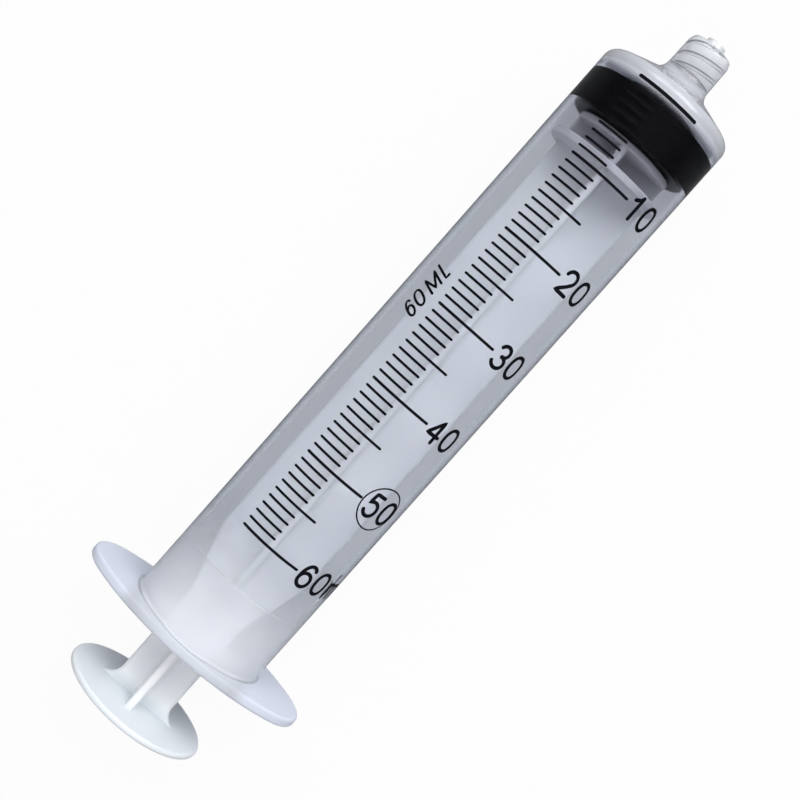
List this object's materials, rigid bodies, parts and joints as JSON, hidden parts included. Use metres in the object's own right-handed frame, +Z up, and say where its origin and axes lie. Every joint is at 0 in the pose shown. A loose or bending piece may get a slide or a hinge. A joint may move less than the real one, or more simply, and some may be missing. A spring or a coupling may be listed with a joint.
{
  "type": "luer lock syringe",
  "caption": "Large clear syringe with a threaded locking collar, an oval finger flange, a black rubber stopper and a white ribbed plunger.",
  "frame": {"origin": "on the barrel's axis, under the zero line of the scale", "axes": "+X along the barrel's axis towards the nozzle, +Z up with the syringe lying on its flange, Y across the finger flange"},
  "size_m": [0.168, 0.0516, 0.0314],
  "materials": {
    "clear_barrel": "gloss",
    "white_rod": "satin",
    "black_rubber": "satin"
  },
  "bodies": {
    "barrel": {"barrel": "clear_barrel"},
    "stopper": {"rubber_stopper": "black_rubber"},
    "plunger": {"plunger_rod": "white_rod"}
  },
  "joints": [
    {"name": "plunger_slide", "type": "slide", "parent": "barrel", "child": "stopper", "axis": [-1, 0, 0], "range_m": [-0.0019, 0.1245]},
    {"name": "plunger_turn", "type": "hinge", "parent": "stopper", "child": "plunger", "pos_m": [0, 0, 0], "axis": [1, 0, 0], "continuous": true}
  ]
}
